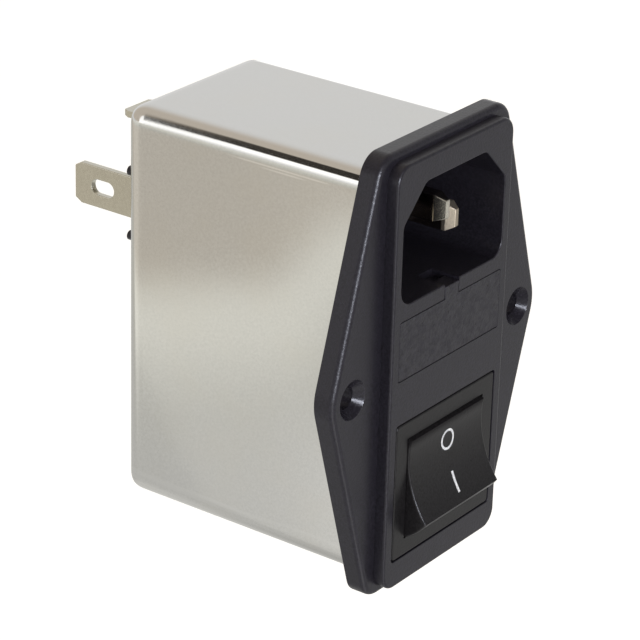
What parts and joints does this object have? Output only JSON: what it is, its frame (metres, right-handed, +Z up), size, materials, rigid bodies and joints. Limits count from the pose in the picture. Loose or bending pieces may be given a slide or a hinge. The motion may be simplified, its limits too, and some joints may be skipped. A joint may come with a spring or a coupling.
{
  "type": "power entry module",
  "caption": "Panel-mounted mains power entry module: black front moulding with inlet, pull-out fuse drawer and rocker switch, plated filter can behind it with quick-connect tabs.",
  "frame": {"origin": "middle of the line between the two panel screws, on the back face of the flange", "axes": "+X to the right as seen from the front, +Y backwards through the panel along the screws, +Z up towards the inlet end"},
  "size_m": [0.049, 0.0616, 0.0653],
  "materials": {
    "black_plastic": "black thermoplastic, fine satin texture",
    "switch_plastic": "black thermoplastic, slightly warm, satin",
    "rocker_plastic": null,
    "nickel_can": "deep drawn steel, satin nickel plating, faint draw marks",
    "plated_brass": "nickel plated brass, stamped",
    "contact_brass": "bare spring brass",
    "tinned_terminal": "tinned brass",
    "fuse_cap": "nickel plated cap",
    "fuse_glass": "clear tube",
    "fuse_wire": "thin silvery wire",
    "plunger_plastic": "natural nylon",
    "spring_steel": "drawn spring wire",
    "board": "glass epoxy board, green",
    "ferrite": "dark grey ferrite",
    "winding_copper": "enamelled copper wire",
    "x_capacitor_case": "yellow moulded case",
    "y_capacitor_coat": "blue dipped coating",
    "resistor_body": "beige lacquer"
  },
  "bodies": {
    "base": {"front_housing": "black_plastic", "left_bushing": "black_plastic", "right_bushing": "black_plastic", "switch_frame": "switch_plastic", "filter_can": "nickel_can", "left_pin": "plated_brass", "right_pin": "plated_brass", "earth_pin": "plated_brass", "left_tab": "plated_brass", "right_tab": "plated_brass", "earth_tab": "plated_brass", "earth_strap": "contact_brass", "left_rear_contact": "contact_brass", "right_rear_contact": "contact_brass", "left_front_contact": "contact_brass", "right_front_contact": "contact_brass", "left_common_terminal": "tinned_terminal", "right_common_terminal": "tinned_terminal", "left_fixed_terminal": "tinned_terminal", "right_fixed_terminal": "tinned_terminal", "filter_board": "board", "choke_core": "ferrite", "left_winding": "winding_copper", "right_winding": "winding_copper", "x_capacitor": "x_capacitor_case", "left_y_capacitor": "y_capacitor_coat", "right_y_capacitor": "y_capacitor_coat", "bleed_resistor": "resistor_body"},
    "rocker": {"rocker": "rocker_plastic", "plungers": "plunger_plastic", "plunger_springs": "spring_steel"},
    "left_seesaw": {"left_seesaw": "contact_brass"},
    "right_seesaw": {"right_seesaw": "contact_brass"},
    "drawer": {"fuse_drawer": "black_plastic", "left_fuse_tube": "fuse_glass", "right_fuse_tube": "fuse_glass", "left_fuse_caps": "fuse_cap", "right_fuse_caps": "fuse_cap", "left_fuse_wire": "fuse_wire", "right_fuse_wire": "fuse_wire"}
  },
  "joints": [
    {"name": "rocker_swing", "type": "hinge", "parent": "base", "child": "rocker", "pos_m": [0, -0.00144, -0.017], "axis": [1, 0, 0], "range_deg": [0, 28]},
    {"name": "left_seesaw_tilt", "type": "hinge", "parent": "base", "child": "left_seesaw", "pos_m": [-0.0045, 0.0069, -0.017], "axis": [1, 0, 0], "range_deg": [-16, 0]},
    {"name": "right_seesaw_tilt", "type": "hinge", "parent": "base", "child": "right_seesaw", "pos_m": [0.0045, 0.0069, -0.017], "axis": [1, 0, 0], "range_deg": [-16, 0]},
    {"name": "drawer_slide", "type": "slide", "parent": "base", "child": "drawer", "axis": [0, -1, 0], "range_m": [0, 0.018]}
  ],
  "couplings": [
    {"joint": "left_seesaw_tilt", "follows": "rocker_swing", "ratio": -0.57143},
    {"joint": "right_seesaw_tilt", "follows": "rocker_swing", "ratio": -0.57143}
  ]
}
